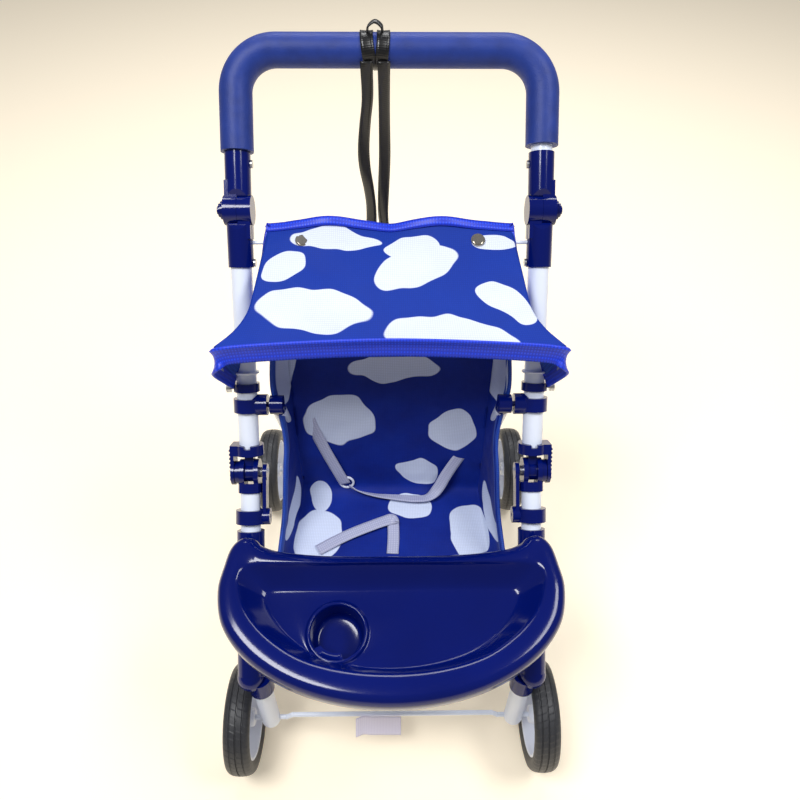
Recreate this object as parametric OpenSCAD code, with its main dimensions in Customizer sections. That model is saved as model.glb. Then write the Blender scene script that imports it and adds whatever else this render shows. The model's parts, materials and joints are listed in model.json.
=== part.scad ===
// Doll stroller: a folding toy pushchair with a fabric seat and canopy, a play tray and a
// flip-over push handle. Front faces -Y, +Z is up, and z = 0 is the floor.

/* [Overall] */
// Spacing of the two side tubes, centre to centre
frame_w = 270; // [225:1:330]
// Diameter of the wheels over the tyres
wheel_d = 108; // [88:1:130]
// Distance from the front axle to the rear axle
wheel_base = 310; // [290:1:372]
// Height of the fold pivots above the floor
fold_z = 258; // [250:1:270]
// Distance of the fold pivots behind the front axle
fold_y = 162; // [156:1:170]

/* [Tubes] */
// Outside diameter of the side tubes
tube_d = 19; // [15.8:0.2:22.8]
// Wall of the steel tubes
tube_wall = 1; // [0.8:0.1:1.5]
// Lean of the upper tubes behind vertical, degrees
upper_lean = 37.5; // [35:0.5:40]
// Length from the fold pivot to the handle pivot
upper_len = 243; // [225:1:291]
// Lean of the lower tubes from vertical, degrees
lower_lean = 48.5; // [47:0.5:50]
// Length from the fold pivot to the knee above the front leg
knee_len = 197; // [190:1:200]
// Spacing of the front legs at the axle
foot_w = 249; // [205:1:309]
// Outside diameter of the rear legs
rear_leg_d = 14; // [11.7:0.1:16.8]
// Gap left between pieces that are pushed together for good
seat_gap = 0.1; // [0.05:0.05:0.2]
// Radial clearance of a pin or shaft that turns
run_gap = 0.06; // [0.03:0.01:0.1]

/* [Handle] */
// Lean of the push handle behind vertical, degrees
handle_lean = 42.5; // [38:0.5:46]
// Length from the handle pivot to the middle of the top bar
handle_len = 136.5; // [120:0.5:164]
// Centre-line radius of the handle's two corners
handle_bend_r = 36; // [30:1:44]
// Outside diameter of the foam grip
foam_d = 29; // [24.2:0.2:34.8]
// Diameter of the flip joint's discs
flip_disc_d = 26; // [24:0.5:28]
// Travel of the flip buttons
button_travel = 2.4; // [1.5:0.1:2.6]

/* [Wheels] */
// Width of the tyres
tyre_w = 26; // [21.7:0.1:31.2]
// Outside diameter of the rims
rim_d = 80; // [66.7:0.1:84]
// Spacing of the front tyres, centre to centre
front_track = 300; // [292:1:330]
// Spacing of the rear tyres, centre to centre
rear_track = 310; // [300:1:340]
// Diameter of the two axle rods
axle_d = 5; // [4.2:0.1:6]

/* [Tray] */
// Half width of the tray's front ellipse
tray_a = 155; // [129:1:186]
// Half depth of the tray's front ellipse
tray_b = 97; // [85:1:108]
// Height of the tray's skirt
tray_skirt = 22; // [18:0.5:24]
// Depth of the tray's recess
tray_recess = 20; // [16:0.5:24]
// Wall of the moulded tray
tray_wall = 2.5; // [2:0.1:3]
// Tilt of the tray, front edge down, degrees
tray_tilt = 7.9; // [6:0.1:10]
// Inside diameter of the cup ring
cup_d = 48; // [40:1:56]
// Depth of the cup below the rim of its ring
cup_depth = 30; // [24:1:36]

/* [Seat and canopy] */
// Height of the fabric seat base above the floor
seat_z = 165; // [160:1:172]
// Width of the seat base at its rear edge
seat_rear_w = 188; // [157:1:190]
// Width of the seat base at its front edge
seat_front_w = 208; // [174:1:212]
// Thickness of the fabric's plain stand-in
fabric_t = 2.5; // [2:0.1:3]
// Diameter of the seat rod
seat_rod_d = 5; // [4.2:0.1:6]
// Diameter of the canopy hoop's wire
hoop_d = 4; // [3.4:0.1:4.8]
// Width of the canopy along its front edge
canopy_front_w = 300; // [290:1:310]
// Width of the canopy along its rear edge
canopy_rear_w = 224; // [200:1:232]
// Diameter of the snap caps
snap_d = 12.5; // [10.5:0.1:15]

/* [Hidden] */
$fn = 64;
tube_r = tube_d / 2;
bore_r = tube_r + seat_gap;
inner_r = tube_r - tube_wall;
wheel_r = wheel_d / 2;
half_w = frame_w / 2;
rod_r = axle_d / 2;

// Heights along the tubes, measured from the fold pivot
tongue_r = 9;
tongue_t = 8.4;
tongue_half = 5;
upper_start = 20;
cheek_r = 13;
cheek_in = tongue_t / 2 + 0.2;
cheek_t = 4.6;
bracket_bottom = 19.5;
pin_r = 3;
collar_s = 42.5;
collar_h = 13;
clamp_s = 66;
lobe_r = 10;
lobe_end = 19;
loop_s = 97;
hoop_s = 83;
hoop_clip_h = 8;
socket_s = 56;
socket_r = tube_r + 3.5;

// Flip joint at the top of the upper tubes
flip_y = fold_y + upper_len * sin(upper_lean);
flip_z = fold_z + upper_len * cos(upper_lean);
disc_r = flip_disc_d / 2;
disc_t = 12.3;
disc_gap = 0.2;
sleeve_r = 11.4;
sleeve_start = 13.6;
sleeve_end = 50;
flip_wedge = 34;
neck_half = 8.5;
spigot_r = 5;
button_r = 8;
button_x = 11;
button_tip = 19;
button_seat = 8.5;
handle_y = flip_y + handle_len * sin(handle_lean);
handle_z = flip_z + handle_len * cos(handle_lean);

// Front legs
knee_y = fold_y - knee_len * sin(lower_lean);
knee_z = fold_z - knee_len * cos(lower_lean);
knee_in = 7;
knee = [half_w - knee_in, knee_y, knee_z];
foot = [foot_w / 2, 0, wheel_r];
leg_start = 14;
leg_tail = 2;
socket_skirt = 20;

// Rear legs
clamp_y = fold_y + clamp_s * sin(upper_lean);
clamp_z = fold_z + clamp_s * cos(upper_lean);
rear_r = rear_leg_d / 2;
leg_boss = [-lobe_end - 2.5, -lobe_end - 14.5];
rear_top_x = half_w + (leg_boss[0] + leg_boss[1]) / 2;
rear_foot_x = rear_track / 2 - tyre_w / 2 - rear_r - 3;
rear_bend = 130;
rear_v = [wheel_base - clamp_y, wheel_r - clamp_z];
rear_u = rear_v / norm(rear_v);
rear_top = [rear_top_x, clamp_y, clamp_z];
rear_knee = [rear_top_x, clamp_y + rear_bend * rear_u[0], clamp_z + rear_bend * rear_u[1]];
rear_foot = [rear_foot_x, wheel_base, wheel_r];
leg_pin_r = 2.5;
rear_end = 13;
rear_start = rear_top + (rear_knee - rear_top) * rear_end / rear_bend;

// Wheels and axles
hub_half = 11;
cap_gap = 0.4;
cap_r = 6;
cap_len = 5;
crank_rise = 6.5;
crank_x = foot_w / 2 - tube_r - 7;
axle_past = 3;
knuckle = 0.4;

// Tray, in its own tilted frame with its top face at zero
tray_y = 51;
tray_z = 238.2;
horn_r = 15.5;
horn_x = half_w - 2;
horn_y = 36;
back_y = 32;
recess_a = tray_a - 31;
recess_b = tray_b - 27;
recess_top = back_y - 12;
recess_corner = 14;
recess_y = 6;
cup_x = -48;
cup_y = -32;
cup_rise = 3;
cup_wall = 3.5;
post_r = 7;
post_s = 86;

// Seat and its rod
base_front = 50;
base_rear = 205;
back_top = [262, 385];
back_lean = atan2(back_top[0] - base_rear, back_top[1] - seat_z);
back_len = norm([back_top[0] - base_rear, back_top[1] - seat_z]);
web_w = 12;
web_t = 1.2;
web_gap = 0.3;
shoulder_path = [[-83, 96], [-52, 16], [-44, 12], [34, 10], [80, 62]];
crotch_path = [[1, 122], [1, 156], [-38, 145], [-74, 126]];
ring_r = 7;
rod_z = seat_z - seat_rod_d / 2 - 2.6;
rod_y = 95;
rod_s = (fold_y - rod_y) / sin(lower_lean);
board_t = 1.6;
wall_top = 232;

// Strap on the grip
strap_w = 11;
strap_t = 1.4;
strap_r = foam_d / 2 + 0.3 + strap_t / 2;
strap_x = [-20, -5];
strap_routes = [
    [[0, 0, -2], [0, 0, -10], [0, 1, -35], [-3, 2, -60], [-5, 3, -85], [-4, 3, -105], [-1, 2, -125],
        [1, 1, -145], [1, 0, -165], [0, 0, -182]],
    [[0, 0, -2], [0, 0, -10], [0, 1, -35], [0, 1, -60], [0, 0, -90], [-1, 0, -120], [-2, 0, -150],
        [-1, 1, -170], [0, 2, -190]]
];

// Canopy
rod_line = [flip_y - 10, flip_z - 18];
front_line = [197, 390];
canopy_v = [rod_line[0] - front_line[0], rod_line[1] - front_line[1]];
canopy_len = norm(canopy_v);
canopy_tilt = atan2(canopy_v[1], canopy_v[0]);
cover_lift = 5.8;
cross_rod_r = 1.7;
hoop_r = hoop_d / 2;
hoop_y = fold_y + hoop_s * sin(upper_lean);
hoop_z = fold_z + hoop_s * cos(upper_lean);
hoop_x = tube_r + 6;
eye_r = 5;
hoop_half = canopy_front_w / 2;

// Whole length, which puts the origin under the middle of the object
back_end = max(handle_y + foam_d / 2, wheel_base + wheel_r);
front_end = -wheel_r;
front_axle_y = -(front_end + back_end) / 2;

// ---- Placing helpers. side is 1 for the right and -1 for the left; inside them +X points
// ---- away from the middle of the stroller.
module place() translate([0, front_axle_y, 0]) children();

module on_side(side) {
    place() {
        if (side < 0) mirror([1, 0, 0]) children();
        else children();
    }
}

module at_fold(side) on_side(side) translate([half_w, fold_y, fold_z]) children();

// Local +Z runs up the upper tube from the fold pivot; local +Y is behind the tube
module upper_frame(side) at_fold(side) rotate([-upper_lean, 0, 0]) children();

// Local -Z runs down the lower tube from the fold pivot
module lower_frame(side) at_fold(side) rotate([-lower_lean, 0, 0]) children();

// Local +Z runs up the push handle from the flip joint
module handle_frame(side) {
    on_side(side) translate([half_w, flip_y, flip_z]) rotate([-handle_lean, 0, 0]) children();
}

module tray_frame() {
    place() translate([0, tray_y, tray_z]) rotate([tray_tilt, 0, 0]) children();
}

// Local +Z runs from point a to point b
module along(a, b) {
    v = b - a;
    translate(a) rotate([-asin(v[1] / norm(v)), atan2(v[0], v[2]), 0]) children();
}

module rod(a, b, r) along(a, b) cylinder(r = r, h = norm(b - a));

// Round corners: each inner point becomes a short curve that starts reach before it
function unit(v) = v / norm(v);
function rounded(points, reach, steps) = concat([points[0]], [
    for (i = [1 : len(points) - 2]) let (
        p = points[i], a = p + unit(points[i - 1] - p) * reach, b = p + unit(points[i + 1] - p) * reach
    ) for (k = [0 : steps]) let (t = k / steps) a * (1 - t) * (1 - t) + p * 2 * t * (1 - t) + b * t * t
], [points[len(points) - 1]]);
function tangents(p) = [for (i = [0 : len(p) - 1]) unit(p[min(i + 1, len(p) - 1)] - p[max(i - 1, 0)])];
function mirrored(p) = [for (i = [len(p) - 1 : -1 : 0]) [-p[i][0], p[i][1], p[i][2]]];
function carried(normal, t) = unit(normal - (normal * t) * t);
function normals(t, normal, i = 0) = i >= len(t) ? [] :
    let (n = carried(normal, t[i])) concat([n], normals(t, n, i + 1));

// An oval section, w along the normal and h across it, swept along points
module swept(points, w, h, sides, normal) {
    t = tangents(points);
    n = normals(t, normal);
    last = len(points) - 1;
    polyhedron([for (i = [0 : last]) for (k = [0 : sides - 1]) let (a = 360 * k / sides)
        points[i] + n[i] * (w / 2 * cos(a)) + cross(t[i], n[i]) * (h / 2 * sin(a))],
        concat([[for (k = [0 : sides - 1]) k]], [[for (k = [sides - 1 : -1 : 0]) last * sides + k]],
            [for (i = [0 : last - 1]) for (k = [0 : sides - 1]) let (a = i * sides, m = (k + 1) % sides)
                [a + k, a + sides + k, a + sides + m, a + m]]));
}

// A bent wire with round corners through a list of points
module wire(points, r) {
    for (i = [0 : len(points) - 2]) rod(points[i], points[i + 1], r);
    for (i = [1 : len(points) - 2]) translate(points[i]) sphere(r = r + knuckle / 2);
}

module x_cylinder(r, x0, x1) translate([x0, 0, 0]) rotate([0, 90, 0]) cylinder(r = r, h = x1 - x0);

module tube(r_out, r_in, z0, z1) {
    difference() {
        translate([0, 0, z0]) cylinder(r = r_out, h = z1 - z0);
        translate([0, 0, z0 - 1]) cylinder(r = r_in, h = z1 - z0 + 2);
    }
}

// ---- Front frame
module lower_tube(side) {
    color("white") lower_frame(side) tube(tube_r, inner_r, -knee_len + leg_start, -12);
}

module leg_socket(side) {
    color("navy") difference() {
        union() {
            lower_frame(side) translate([0, 0, -knee_len]) cylinder(r = socket_r, h = knee_len - socket_s);
            on_side(side) translate([half_w, knee_y, knee_z]) sphere(r = socket_r + knuckle);
            on_side(side) rod(knee, knee + (foot - knee) * socket_skirt / norm(foot - knee), socket_r - 1);
            on_side(side) translate([half_w, fold_y - post_s * sin(lower_lean), 0])
                translate([0, 0, fold_z - post_s * cos(lower_lean)]) cylinder(r = post_r, h = socket_r + 8);
        }
        lower_frame(side) translate([0, 0, -knee_len + leg_start - 0.2])
            cylinder(r = bore_r, h = knee_len);
        on_side(side) along(knee, foot) translate([0, 0, leg_start - 0.5]) cylinder(r = bore_r, h = 60);
        lower_frame(side) translate([0, 0, -rod_s]) x_cylinder(seat_rod_d / 2 + seat_gap, -socket_r - 1, -tube_r + 1);
        tray_frame() translate([-tray_a, 0, -tray_wall - 0.2]) cube([2 * tray_a, tray_b, 60]);
    }
}

module front_leg(side) {
    leg = norm(foot - knee);
    color("white") difference() {
        on_side(side) along(knee, foot) {
            translate([0, 0, leg_start]) cylinder(r = tube_r, h = leg + leg_tail - leg_start);
            translate([0, 0, leg + leg_tail]) sphere(r = tube_r);
        }
        on_side(side) along(knee, foot)
            translate([0, 0, leg_start - 1]) cylinder(r = inner_r, h = leg - leg_start - 11);
        on_side(side) translate([0, 0, wheel_r]) x_cylinder(rod_r + seat_gap, crank_x - 3, foot_w);
    }
}

module front_axle() {
    end = front_track / 2 + hub_half + axle_past;
    rise = wheel_r + crank_rise;
    color("white") place() wire([
        [-end, 0, wheel_r], [-crank_x, 0, wheel_r], [-crank_x + crank_rise, 0, rise],
        [crank_x - crank_rise, 0, rise], [crank_x, 0, wheel_r], [end, 0, wheel_r]
    ], rod_r);
}

// Push-on caps at both ends of an axle
module axle_caps(y, track) {
    start = track / 2 + hub_half + cap_gap;
    color("white") for (side = [-1, 1]) on_side(side) translate([start, y, wheel_r]) difference() {
        union() {
            x_cylinder(cap_r, 0, cap_len - 1.5);
            x_cylinder(cap_r - 1.5, 0, cap_len);
        }
        x_cylinder(rod_r + seat_gap, -1, axle_past - cap_gap + 0.2);
    }
}

// Two cheeks that hold the upper tube's tongue, on a cup that takes the lower tube
module fold_bracket(side) {
    boss = 13.4;
    color("navy") difference() {
        union() {
            lower_frame(side) translate([0, 0, -bracket_bottom]) cylinder(r = 11.5, h = bracket_bottom - 10.3);
            at_fold(side) x_cylinder(cheek_r, cheek_in, cheek_in + cheek_t);
            at_fold(side) x_cylinder(cheek_r, -cheek_in - cheek_t, -cheek_in);
            at_fold(side) x_cylinder(11, cheek_in, boss);
            for (x = [-cheek_in - cheek_t, cheek_in]) lower_frame(side)
                translate([x + 0.2, -9, -bracket_bottom + 0.3]) cube([cheek_t - 0.4, 18, bracket_bottom]);
        }
        lower_frame(side) translate([0, 0, -bracket_bottom - 1]) cylinder(r = bore_r, h = bracket_bottom - 10.8);
        at_fold(side) x_cylinder(pin_r + seat_gap, -cheek_in - cheek_t - 1, boss - 1.4);
    }
}

module fold_pins() {
    head = -cheek_in - cheek_t - 0.1;
    color("silver") for (side = [-1, 1]) at_fold(side) {
        x_cylinder(pin_r, head - 1, cheek_in + cheek_t + 2);
        x_cylinder(5, head - 2, head);
    }
}

// A ring round the lower tube with a flat ear inboard that reaches up over the pin's head
module lower_collar(side) {
    color("navy") difference() {
        union() {
            lower_frame(side) translate([0, 0, -collar_s - collar_h / 2]) cylinder(r = 14, h = collar_h);
            lower_frame(side) translate([-16, -7, -collar_s]) cube([3.4, 14, collar_s]);
            lower_frame(side) translate([0, 0, -collar_s]) x_cylinder(8, -19, -10);
            at_fold(side) x_cylinder(8, -16.3, -12.4);
        }
        lower_frame(side) translate([0, 0, -collar_s - collar_h]) cylinder(r = bore_r, h = 2 * collar_h);
        lower_frame(side) translate([0, 0, -collar_s]) x_cylinder(2, -20, -15);
    }
}

// ---- Tray
function arc(cx, cy, a, b, from, to, steps) =
    [for (i = [0 : steps]) let (t = from + (to - from) * i / steps) [cx + a * cos(t), cy + b * sin(t)]];
function back_edge(half, low, rise, steps) =
    [for (i = [0 : steps]) let (x = -half + 2 * half * i / steps) [x, low + rise * pow(abs(x / half), 4)]];

// Outline of the tray, drawn in by k all round
function tray_outline(k) = concat(
    arc(0, 0, tray_a - k, tray_b - k, 180, 360, 40),
    arc(horn_x, horn_y, horn_r - k, horn_r - k, 10, 140, 8),
    [for (p = back_edge(horn_x - horn_r - 1 + k / 2, back_y - k, 10, 14)) [-p[0], p[1]]],
    arc(-horn_x, horn_y, horn_r - k, horn_r - k, 40, 170, 8)
);

// Outline of the recess, drawn out by k all round
function recess_outline(k) = concat(
    arc(0, recess_y, recess_a + k, recess_b + k, 180, 360, 36),
    arc(recess_a - recess_corner, recess_y, recess_corner + k, recess_corner + k, 15, 90, 5),
    arc(-recess_a + recess_corner, recess_y, recess_corner + k, recess_corner + k, 90, 165, 5)
);

module tray() {
    floor_z = -tray_recess;
    color("navy") tray_frame() difference() {
        union() {
            translate([0, 0, -tray_skirt]) linear_extrude(tray_skirt) difference() {
                polygon(tray_outline(0));
                polygon(tray_outline(tray_wall));
            }
            translate([0, 0, -tray_wall]) linear_extrude(tray_wall) difference() {
                polygon(tray_outline(1));
                polygon(recess_outline(0));
            }
            translate([0, 0, floor_z - tray_wall]) linear_extrude(tray_recess + tray_wall) difference() {
                polygon(recess_outline(tray_wall));
                polygon(recess_outline(0));
            }
            translate([0, 0, floor_z - tray_wall]) linear_extrude(tray_wall) polygon(recess_outline(1));
            translate([cup_x, cup_y, floor_z + cup_rise - cup_depth - tray_wall])
                cylinder(d = cup_d + 2 * cup_wall, h = cup_depth + tray_wall);
        }
        translate([cup_x, cup_y, floor_z + cup_rise - cup_depth]) cylinder(d = cup_d, h = cup_depth + 1);
    }
}

// ---- Seat
module seat_rod() {
    front_x = half_w - socket_r - 5;
    side_x = seat_rear_w / 2 - 2;
    socket_z = fold_z - rod_s * cos(lower_lean);
    start = [half_w - tube_r - 0.5, rod_y, socket_z];
    half = [start, [front_x, rod_y, socket_z], [front_x, rod_y, rod_z], [side_x, rod_y + 14, rod_z],
        [side_x, base_rear - 5, rod_z]];
    points = concat(half, mirrored(half));
    color("silver") place() swept(rounded(points, 4, 4), seat_rod_d, seat_rod_d, 12, [0, 1, 0.1]);
}

module seat_board() {
    z = rod_z + seat_rod_d / 2 + 0.3;
    color("white") place() translate([0, 0, z]) linear_extrude(board_t) polygon([
        [-seat_front_w / 2 + 6, base_front + 4], [seat_front_w / 2 - 6, base_front + 4],
        [seat_rear_w / 2 - 3, base_rear - 3], [-seat_rear_w / 2 + 3, base_rear - 3]
    ]);
}

// Local X across and local Z up the seat's back, with local -Y in front of it
module on_back() translate([0, base_rear, seat_z]) rotate([-back_lean, 0, 0]) children();

// Plain stand-in of the sewn seat: a base, a back and two side walls
module seat_cover() {
    color("royalblue") place() {
        translate([0, 0, seat_z]) linear_extrude(fabric_t) polygon([
            [-seat_front_w / 2, base_front], [seat_front_w / 2, base_front],
            [seat_rear_w / 2, base_rear], [-seat_rear_w / 2, base_rear]
        ]);
        on_back() translate([-seat_rear_w / 2, -fabric_t, 0]) cube([seat_rear_w, fabric_t, back_len]);
        for (x = [-seat_rear_w / 2, seat_rear_w / 2 - fabric_t]) translate([x, 0, 0])
            rotate([90, 0, 90]) linear_extrude(fabric_t) polygon([
                [base_front, seat_z], [base_rear, seat_z], [base_rear + 40, wall_top + 98],
                [base_rear + 5, wall_top + 98], [base_rear - 40, wall_top + 20],
                [base_rear - 100, wall_top - 12], [base_front, seat_z + 20]
            ]);
    }
}

// Flat webbing along points in a plane, web_t thick above it
module webbing(points) {
    color("lavender") linear_extrude(web_t) for (i = [0 : len(points) - 2]) {
        step = points[i + 1] - points[i];
        translate(points[i]) rotate(atan2(step[1], step[0])) translate([0, -web_w / 2]) square([norm(step), web_w]);
        translate(points[i]) circle(r = web_w / 2 + knuckle);
    }
}

module shoulder_harness() {
    place() on_back() translate([0, -fabric_t - web_gap, 0]) rotate([90, 0, 0]) webbing(shoulder_path);
}

// A ring that gathers the shoulder strap at the foot of the seat's back
module harness_ring() {
    front = fabric_t + web_t + web_gap + 1.5;
    color("white") place() on_back() translate([shoulder_path[2][0] - 4, -front, shoulder_path[2][1] + 2])
        rotate([90, 0, 0]) rotate_extrude() translate([ring_r, 0]) circle(r = 1.3);
}

module crotch_strap() place() translate([0, 0, seat_z + fabric_t + web_gap]) webbing(crotch_path);

module label_tag() {
    color("white") place() translate([-33, -rod_r - 1.4, wheel_r - 12]) cube([38, 0.8, 22]);
}

// ---- Handle frame
module upper_tube(side) {
    color("white") difference() {
        union() {
            upper_frame(side) tube(tube_r, inner_r, upper_start + 2, upper_len - 24);
        }
        upper_frame(side) translate([0, 0, upper_len - 46]) x_cylinder(1.6, -tube_d, 0);
        upper_frame(side) translate([0, 0, upper_len - 28]) x_cylinder(cross_rod_r + seat_gap, -tube_d, tube_d);
    }
}

// Moulded plugs in the upper tubes' lower ends, each with the tongue that turns in a bracket
module fold_tongues() {
    color("navy") for (side = [-1, 1]) difference() {
        union() {
            upper_frame(side) translate([0, 0, upper_start - 1]) cylinder(r = tube_r, h = 2.8);
            upper_frame(side) translate([0, 0, upper_start]) cylinder(r = inner_r - seat_gap, h = 14);
            upper_frame(side) translate([-tongue_t / 2, -tongue_half, 0])
                cube([tongue_t, 2 * tongue_half, upper_start]);
            at_fold(side) x_cylinder(tongue_r, -tongue_t / 2, tongue_t / 2);
        }
        at_fold(side) x_cylinder(pin_r + run_gap, -tongue_t, tongue_t);
    }
}

module upper_clamp(side) {
    color("navy") difference() {
        union() {
            upper_frame(side) translate([0, 0, clamp_s - 6.5]) cylinder(r = 12.8, h = 13);
            upper_frame(side) translate([0, 0, clamp_s]) x_cylinder(lobe_r, -lobe_end, -6);
        }
        upper_frame(side) translate([0, 0, clamp_s - 20]) cylinder(r = bore_r, h = 40);
        upper_frame(side) translate([0, 0, clamp_s]) x_cylinder(leg_pin_r + run_gap, -lobe_end - 1, -tube_r - 0.5);
    }
}

// Half of the flip joint: a sleeve on a tube, and a disc on one side of the joint's middle plane
module flip_half(up, inboard) {
    x0 = inboard ? -disc_t - disc_gap / 2 : disc_gap / 2;
    flank = sleeve_end * 1.1 * tan(flip_wedge);
    z_sign = up ? 1 : -1;
    x_cylinder(disc_r, x0, x0 + disc_t);
    translate([inboard ? -11 : disc_gap / 2, -neck_half, up ? 0 : -sleeve_start - sleeve_r])
        cube([11 - disc_gap / 2, 2 * neck_half, sleeve_start + sleeve_r]);
    difference() {
        intersection() {
            translate([0, 0, up ? 0 : -sleeve_end]) cylinder(r = sleeve_r, h = sleeve_end);
            rotate([90, 0, 90]) translate([0, 0, -sleeve_r - 1]) linear_extrude(2 * sleeve_r + 2)
                polygon([[0, 0], [flank, z_sign * sleeve_end * 1.1], [-flank, z_sign * sleeve_end * 1.1]]);
        }
        x_cylinder(sleeve_start, -sleeve_r - 2, sleeve_r + 2);
    }
}

module lower_sleeve(side) {
    color("navy") difference() {
        union() {
            upper_frame(side) translate([0, 0, upper_len]) flip_half(false, true);
            upper_frame(side) translate([0, 0, upper_len]) x_cylinder(spigot_r, -1, 7.5);
        }
        upper_frame(side) translate([0, 0, upper_len - sleeve_end - 1]) cylinder(r = bore_r, h = sleeve_end - 22.8);
        upper_frame(side) translate([0, 0, upper_len - 46]) x_cylinder(1.6, -sleeve_r - 3, 0);
        upper_frame(side) translate([0, 0, upper_len - 28]) x_cylinder(cross_rod_r + seat_gap, -sleeve_r - 3, sleeve_r - 1);
    }
}

// Screws through a sleeve, head inboard
module sleeve_screw() {
    x_cylinder(3.5, -sleeve_r - 1.8, -sleeve_r - 0.05);
    x_cylinder(1.5, -sleeve_r - 0.1, -2);
}

module lower_sleeve_screws() {
    color("silver") for (side = [-1, 1]) upper_frame(side) translate([0, 0, upper_len - 46]) sleeve_screw();
}

module cross_rod() {
    reach = half_w + sleeve_r - 1.2;
    color("white") place() translate([0, fold_y + (upper_len - 28) * sin(upper_lean), 0])
        translate([0, 0, fold_z + (upper_len - 28) * cos(upper_lean)]) x_cylinder(cross_rod_r, -reach, reach);
}

// Elastic loops that tie the seat's top corners to the tubes
module elastic_loops() {
    color("white") for (side = [-1, 1]) upper_frame(side) translate([0, 0, loop_s])
        rotate_extrude() translate([tube_r + 1.4, 0]) circle(r = 1.2);
}

// Rings round the tubes that carry the ends of the canopy hoop
module canopy_clips() {
    color("blue") for (side = [-1, 1]) upper_frame(side) {
        translate([0, 0, hoop_s - hoop_clip_h / 2]) tube(tube_r + 2.5, bore_r, 0, hoop_clip_h);
        translate([0, 0, hoop_s]) x_cylinder(2, tube_r + 1.2, hoop_x + 3);
    }
}

// Point on the canopy's plane, d behind its front edge and h above it
function on_canopy(d, h) = [front_line[0] + d * cos(canopy_tilt) - h * sin(canopy_tilt),
    front_line[1] + d * sin(canopy_tilt) + h * cos(canopy_tilt)];

module canopy_snaps() {
    p = on_canopy(canopy_len - 12, cover_lift + fabric_t + 0.3);
    color("silver") for (x = [-78, 78]) place() translate([x, p[0], p[1]]) rotate([canopy_tilt, 0, 0]) {
        cylinder(d = snap_d, h = 1);
        cylinder(d = snap_d - 3, h = 1.8);
    }
}

// ---- Lock slides: a ring on the upper tube with a ribbed plate over the fold joint
module lock_slide(side) {
    plate = [13.8, 17];
    color("navy") difference() {
        union() {
            upper_frame(side) translate([0, 0, 18]) cylinder(r = 13.4, h = 10);
            upper_frame(side) translate([plate[0], -9, 0]) cube([plate[1] - plate[0], 18, 28]);
            at_fold(side) x_cylinder(12, plate[0], plate[1]);
            upper_frame(side) translate([6, -9, 18]) cube([plate[1] - 6, 18, 10]);
            for (z = [-6 : 4 : 22]) upper_frame(side) translate([plate[1] - 0.2, -7, z]) cube([1.6, 14, 1.8]);
        }
        upper_frame(side) translate([0, 0, 10]) cylinder(r = tube_r + 0.2, h = 30);
        upper_frame(side) translate([-3, -20, 25]) cube([6, 12, 4]);
    }
}

// ---- Push handle
module upper_sleeve(side) {
    color("navy") difference() {
        handle_frame(side) flip_half(true, false);
        handle_frame(side) x_cylinder(spigot_r + run_gap, -1, button_seat + 0.1);
        handle_frame(side) x_cylinder(button_r + 0.15, button_seat, disc_t + 2);
        handle_frame(side) translate([0, 0, 23.8]) cylinder(r = bore_r, h = sleeve_end);
        handle_frame(side) translate([0, 0, 40]) x_cylinder(1.6, -sleeve_r - 3, 0);
    }
}

module upper_sleeve_screws() {
    color("silver") for (side = [-1, 1]) handle_frame(side) translate([0, 0, 40]) sleeve_screw();
}

module flip_button(side) {
    color("navy") handle_frame(side) {
        x_cylinder(button_r, button_x, 15.5);
        x_cylinder(button_r - 2, 15, 17.5);
        x_cylinder(button_r - 4.5, 17, button_tip);
    }
}

// Handle bow in its own plane: local X across, local Z up the handle
module bow(r_out, r_in, left_start, right_start) {
    arm = handle_len - handle_bend_r;
    for (s = [-1, 1]) {
        start = s < 0 ? left_start : right_start;
        translate([s * half_w, 0, 0]) tube(r_out, r_in, start, arm);
        mirror([s < 0 ? 1 : 0, 0, 0]) translate([half_w - handle_bend_r, 0, arm]) rotate([90, 0, 0])
            rotate_extrude(angle = 90) translate([handle_bend_r, 0]) difference() {
                circle(r = r_out);
                circle(r = r_in);
            }
    }
    translate([0, 0, handle_len]) rotate([0, 90, 0])
        tube(r_out, r_in, -half_w + handle_bend_r, half_w - handle_bend_r);
}

module bow_frame() place() translate([0, flip_y, flip_z]) rotate([-handle_lean, 0, 0]) children();

module handle_tube() {
    color("white") difference() {
        bow_frame() bow(tube_r, inner_r, 24, 24);
        for (side = [-1, 1]) handle_frame(side) translate([0, 0, 40]) x_cylinder(1.6, -tube_d, 0);
    }
}

module foam_grip() color("mediumblue") bow_frame() bow(foam_d / 2, tube_r + 0.05, sleeve_end + 0.5, sleeve_end + 6);

// Flat strap hitched over the grip, with two free tails that hang in front of the bar
module strap_hitch() {
    color("black") place() translate([0, handle_y, handle_z]) {
        for (x = strap_x) translate([x, 0, 0]) rotate([0, 90, 0])
            tube(strap_r + strap_t / 2, strap_r - strap_t / 2, -strap_w * 0.4, strap_w * 0.4);
        translate([(strap_x[0] + strap_x[1]) / 2, 0, strap_r + strap_t / 2 + 0.2]) rotate([90, 0, 0])
            rotate_extrude(angle = 180) translate([6, -strap_w / 4]) square([strap_t, strap_w / 2]);
    }
}

module strap_tail(i) {
    color("black") place() translate([strap_x[i], handle_y - strap_r - strap_t - 0.4, handle_z])
        swept(strap_routes[i], strap_w, strap_t, 8, [1, 0, 0]);
}

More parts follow.
